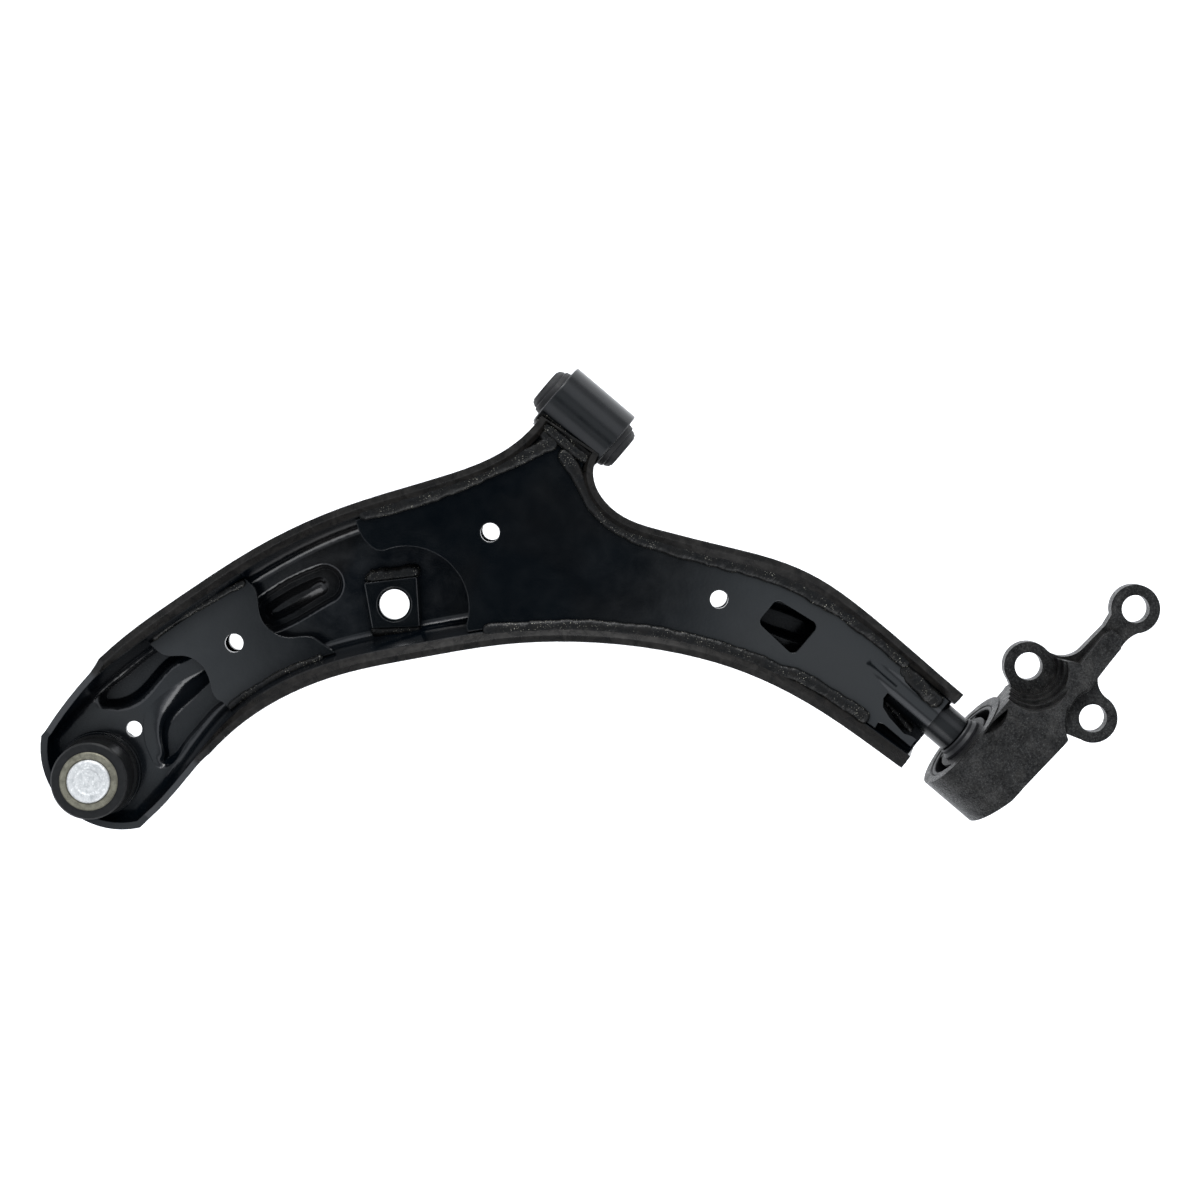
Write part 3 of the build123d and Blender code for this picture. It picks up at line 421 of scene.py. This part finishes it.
def weld_run(name, points, width, height, seed, replaced=(), lump=0.34, ripple=0.12, wall=None):
    """Weld bead along points in millimetres: flattened section, ripples left by the hand, lumps, round ends.
    wall is (x, y, reach, z): away from x, y the bead goes no further than reach below the height z."""
    spacing = 0.45
    path = smooth_path(points, spacing)
    count = 22
    verts = []
    faces = []
    total = len(path)
    offset = Vector((seed * 17.3, seed * 5.1, seed * 9.7))
    for i, p in enumerate(path):
        tangent = (path[min(i + 1, total - 1)] - path[max(i - 1, 0)]).normalized()
        side = tangent.cross(Vector((0, 0, 1))).normalized()
        up = side.cross(tangent).normalized()
        s = i * spacing
        rest = (total - 1 - i) * spacing
        cap = min(1.0, s / width, rest / width)
        end = math.sqrt(max(0.0, 1.0 - (1.0 - cap) ** 2)) * 0.96 + 0.04
        swell = 1.0 + 0.16 * noise.noise(Vector((s / 7.0, seed * 3.7, 0.0)))
        drift = side * (0.55 * noise.noise(Vector((s / 9.0, seed * 1.9, 4.0))))
        for k in range(count):
            turn = 2 * math.pi * k / count
            c = math.cos(turn)
            q = math.sin(turn)
            wave = (s - 1.5 * (1.0 - abs(c)) + 0.5 * noise.noise(offset + p / 3.0)) / 1.7
            scallop = math.sin(math.pi * (wave % 1.0)) ** 0.6 - 0.6
            out = side * c + up * q
            base = p + drift + (side * (width * swell * c) + up * (height * swell * q)) * end
            mm = base + offset
            amount = ripple * scallop + lump * noise.noise(mm / 3.8) + 0.16 * noise.noise(mm / 1.3)
            place = base + out * (amount * end)
            if wall and place.z < wall[3]:
                outward = side if side.dot(p - Vector((wall[0], wall[1], p.z))) > 0 else -side
                over = outward.dot(place - p) - wall[2]
                place = place - outward * max(over, 0.0)
            verts.append(place * MM)
    for i in range(total - 1):
        for k in range(count):
            m = (k + 1) % count
            faces.append((i * count + k, i * count + m, (i + 1) * count + m, (i + 1) * count + k))
    faces.append(tuple(range(count))[::-1])
    faces.append(tuple((total - 1) * count + k for k in range(count)))
    return new_piece(name, verts, faces, "arm", "weld_bead", replaced)


def weld_over(node, axis, seed, width, height, shift, away, rise=0.0, before=(), after=(), wall_z=None,
              reach=2.5):
    """Weld bead that replaces a CAD bead: same line, moved sideways away from a point, with longer ends.
    Below wall_z it goes no further than reach from the CAD line, to stay inside the channel's wall."""
    line = [p / MM for p in centreline([v.co.copy() for v in nodes[node].data.vertices], axis, 26)]
    inner = [(line[i - 1] + line[i] + line[i + 1]) / 3 for i in range(1, len(line) - 1)]
    line = [line[0]] + inner + [line[-1]]
    moved = []
    for i, p in enumerate(line):
        tangent = line[min(i + 1, len(line) - 1)] - line[max(i - 1, 0)]
        side = tangent.cross(Vector((0, 0, 1))).normalized()
        if side.dot(p - Vector((away[0], away[1], p.z))) < 0:
            side.negate()
        moved.append(p + side * shift + Vector((0, 0, rise)))
    points = [Vector(p) for p in before] + moved + [Vector(p) for p in after]
    wall = (away[0], away[1], reach - shift, wall_z) if wall_z is not None else None
    weld_run(node + "_bead", points, width, height, seed, (node,), wall=wall)


# points, in millimetres, that the beads round each plate face away from
cover_middle = (40.0, -60.0)
bridge_middle = (-60.0, -180.0)
link_middle = (-12.0, -130.4)
pin_middle = (200.0, 0.0)
wall_top = 11.4          # millimetres, where the channel's wall turns out into its lip
weld_over("cover_weld_front", 1, 1, 3.3, 1.5, 1.2, cover_middle, 0.3, (), [(-12.6, -17.0, 11.0)], wall_top)
weld_over("cover_weld_rear", 0, 2, 3.3, 1.5, 1.2, cover_middle, 0.3, [(1.5, -17.6, 11.4)], (), wall_top)
weld_over("cover_weld_inner", 0, 3, 3.3, 1.5, 1.0, cover_middle, 0.3, wall_z=wall_top)
weld_over("bridge_weld_outer", 1, 4, 2.2, 1.3, 0.5, bridge_middle, 0.2, wall_z=wall_top, reach=1.7)
weld_over("bridge_weld_inner", 1, 5, 2.2, 1.3, 0.5, bridge_middle, 0.2, wall_z=wall_top, reach=1.7)
weld_over("link_weld_upper", 0, 6, 3.6, 2.4, 1.2, link_middle, 0.2)
weld_over("link_weld_lower", 0, 7, 2.7, 1.8, 0.2, link_middle, 0.1)
weld_over("pin_weld_lower", 0, 8, 2.2, 1.6, 0.0, pin_middle)
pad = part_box("pin_weld_pad")
pad_y = (pad[0][1] + pad[1][1]) / 2 / MM
pad_height = 1.7
pad_top = pad[1][2] / MM - pad_height
pad_points = [(195.0, 2.6, 10.4), (200.0, 1.4, 10.6), (205.0, 0.6, pad_top), (211.0, 0.2, pad_top),
              (222.0, 0.0, pad_top)]
pad_line = [Vector((x, pad_y + dy, z)) for x, dy, z in pad_points]
weld_run("pin_weld_pad_bead", pad_line, 3.7, pad_height, 11, ("pin_weld_pad",), 0.7, 0.2)

# bead along the front tube, between it and the cover plate
tube_points = [(-16.4, -12.4, 10.6), (-9.0, -14.2, 11.6), (0.0, -14.6, 11.9), (9.0, -14.4, 11.6),
               (15.8, -12.6, 10.8)]
weld_run("tube_weld_top", [Vector(p) for p in tube_points], 2.9, 2.0, 9)

# ---------------------------------------------------------------- dust boot, split where its two tilts meet
joint_centre = (-69.0 * MM, -289.2 * MM)


def boot_half(name, outer, inner, replaced):
    profile = [(r * MM, z * MM) for r, z in outer + inner[::-1]]
    verts, faces = lathe(profile, joint_centre, 112)
    obj = new_piece(name, verts, faces, None, "boot_rubber", replaced)
    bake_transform(obj)
    return obj


bell_outer = [(20.2, -19.7), (20.35, -20.2), (20.3, -21.4), (20.6, -22.4), (21.3, -24.0), (21.45, -25.6),
              (20.9, -27.4), (19.6, -29.0)]
bell_inner = [(17.4, -19.7), (17.4, -21.8), (18.8, -22.0), (18.9, -24.0), (19.5, -25.4), (19.5, -26.4),
              (18.8, -27.4), (17.6, -28.4)]
neck_outer = [(19.6, -29.0), (17.6, -30.8), (14.6, -32.2), (12.6, -33.2), (11.9, -34.0), (11.8, -34.8),
              (11.75, -36.4), (11.6, -37.2), (11.0, -37.5)]
neck_inner = [(17.6, -28.4), (15.6, -29.6), (13.0, -30.9), (10.6, -32.4), (9.6, -33.4), (9.3, -34.2),
              (9.3, -35.0), (9.3, -36.8), (9.6, -37.4)]
boot_half("dust_boot_bell", bell_outer, bell_inner, ("dust_boot",))
boot_half("dust_boot_neck", neck_outer, neck_inner, ())

# ---------------------------------------------------------------- zinc cover with its stamped ring and dents
cover_rings = [
    (14.1, 8.7), (14.1, 10.3), (10.55, 10.4), (10.55, 11.6), (10.5, 12.7), (10.2, 13.15), (9.7, 13.45),
    (9.0, 13.62), (8.2, 13.70), (7.4, 13.74), (6.7, 13.72), (6.2, 13.52), (5.8, 13.22), (5.3, 13.06),
    (4.6, 13.12), (3.8, 13.20), (3.0, 13.18), (2.2, 13.12), (1.4, 13.10), (0.6, 13.12), (0.05, 13.12),
    (0.05, 8.7),
]
cover_face = 12.5        # millimetres, above it the cover is dented
verts, faces = lathe([(r * MM, z * MM) for r, z in cover_rings], joint_centre, 128)
dented = []
for x, y, z in verts:
    p = Vector((x, y, 0.0)) / MM
    r = math.hypot(x - joint_centre[0], y - joint_centre[1]) / MM
    dent = 0.10 * noise.noise(p / 3.1) + 0.05 * noise.noise(p / 1.1)
    burr = 0.16 * noise.noise(p / 1.4) if 10.0 < r < 10.56 and z > cover_face * MM else 0.0
    lift = (dent + burr) * MM if z > cover_face * MM and r > 0.2 else 0.0
    dented.append((x, y, z + lift))
new_piece("ball_cover_top", dented, faces, "arm", "zinc_cover", ("ball_cover",))

# ---------------------------------------------------------------- floor, world, lights, camera
floor_z = -0.0806
floor_half = 40
floor_corners = [(x * floor_half, y * floor_half, floor_z) for x, y in [(-1, -1), (1, -1), (1, 1), (-1, 1)]]
floor_mesh = bpy.data.meshes.new("floor")
floor_mesh.from_pydata(floor_corners, [], [(0, 1, 2, 3)])
floor = bpy.data.objects.new("floor", floor_mesh)
bpy.context.scene.collection.objects.link(floor)
pale = Graph("floor")
pale.colour(pale.ramp(pale.noise(300.0, 2.0), [(0.3, (0.90, 0.90, 0.90)), (0.7, (0.92, 0.92, 0.92))]))
pale.set(Roughness=0.9, Specular_IOR_Level=0.1, Emission_Color=(1.0, 1.0, 1.0, 1.0), Emission_Strength=0.30)
floor_mesh.materials.append(pale.material)

scene = bpy.context.scene
world = bpy.data.worlds.new("studio")
scene.world = world
world.use_nodes = True
tree = world.node_tree
tree.nodes.clear()
sky_out = tree.nodes.new("ShaderNodeOutputWorld")
sky = tree.nodes.new("ShaderNodeBackground")
coord = tree.nodes.new("ShaderNodeTexCoord")


def sky_node(kind, **values):
    node = tree.nodes.new(kind)
    for key, value in values.items():
        setattr(node, key, value)
    return node


def sky_share(direction, low, high):
    """0 to 1 as the angle from direction falls from high to low, both in degrees."""
    dot = sky_node("ShaderNodeVectorMath", operation="DOT_PRODUCT")
    dot.inputs[1].default_value = Vector(direction).normalized()
    tree.links.new(coord.outputs["Generated"], dot.inputs[0])
    spread = sky_node("ShaderNodeMapRange", interpolation_type="SMOOTHSTEP")
    spread.inputs["From Min"].default_value = math.cos(math.radians(high))
    spread.inputs["From Max"].default_value = math.cos(math.radians(low))
    tree.links.new(dot.outputs["Value"], spread.inputs["Value"])
    return spread.outputs["Result"]


def sky_mix(share, a, b):
    node = sky_node("ShaderNodeMix", data_type="RGBA")
    tree.links.new(share, node.inputs[0])
    for socket, value in zip((node.inputs[6], node.inputs[7]), (a, b)):
        if isinstance(value, tuple):
            socket.default_value = (*value, 1.0)
        else:
            tree.links.new(value, socket)
    return node.outputs[2]


# room that is brighter on one side, side lights round a ceiling, a dim ring between them and a dark gap
# nearly straight above
overhead = (0.0, 0.0, 1.0)
bright_side = (-0.6481, 0.7615, 0.35)
gap_middle = (-0.006, -0.080, 1.0)
side_share = sky_share(bright_side, 40.0, 125.0)
room = sky_mix(side_share, (0.26, 0.27, 0.29), (0.80, 0.83, 0.88))
side_lights = sky_mix(sky_share(overhead, 58.0, 70.0), room, (1.55, 1.62, 1.74))
dim_ring = sky_mix(sky_share(overhead, 27.0, 33.0), side_lights, (0.50, 0.53, 0.57))
ceiling = sky_mix(sky_share(overhead, 19.0, 24.0), dim_ring, (0.92, 0.99, 1.06))
gap_share = sky_share(gap_middle, 4.7, 7.7)
tree.links.new(sky_mix(gap_share, ceiling, (0.012, 0.016, 0.024)), sky.inputs[0])
tree.links.new(sky.outputs[0], sky_out.inputs[0])
sky.inputs[1].default_value = 1.0


def softbox(name, place, target, size, power):
    light = bpy.data.lights.new(name, "AREA")
    light.shape = "RECTANGLE"
    light.size = size[0]
    light.size_y = size[1]
    light.energy = power
    obj = bpy.data.objects.new(name, light)
    scene.collection.objects.link(obj)
    obj.location = place
    obj.rotation_mode = "QUATERNION"
    obj.rotation_quaternion = (Vector(target) - Vector(place)).to_track_quat("-Z", "Y")
    return obj


arm_middle = (0.05, -0.08, 0.0)
softbox("key", (-0.90, 1.05, 0.85), arm_middle, (1.1, 0.7), 26.0)
softbox("fill", (1.10, -0.90, 1.00), arm_middle, (0.9, 0.9), 9.0)

camera = bpy.data.cameras.new("camera")
camera.lens = 64.29
camera.sensor_width = 36.0
camera.shift_y = -190.0 / 1200.0
camera.clip_start = 0.01
camera.clip_end = 50.0
camera_object = bpy.data.objects.new("camera", camera)
scene.collection.objects.link(camera_object)
camera_object.location = (0.0031, 0.0084, 1.050)
camera_object.rotation_euler = (0.0, 0.0, math.radians(40.4))
scene.camera = camera_object
scene.view_settings.view_transform = "Standard"
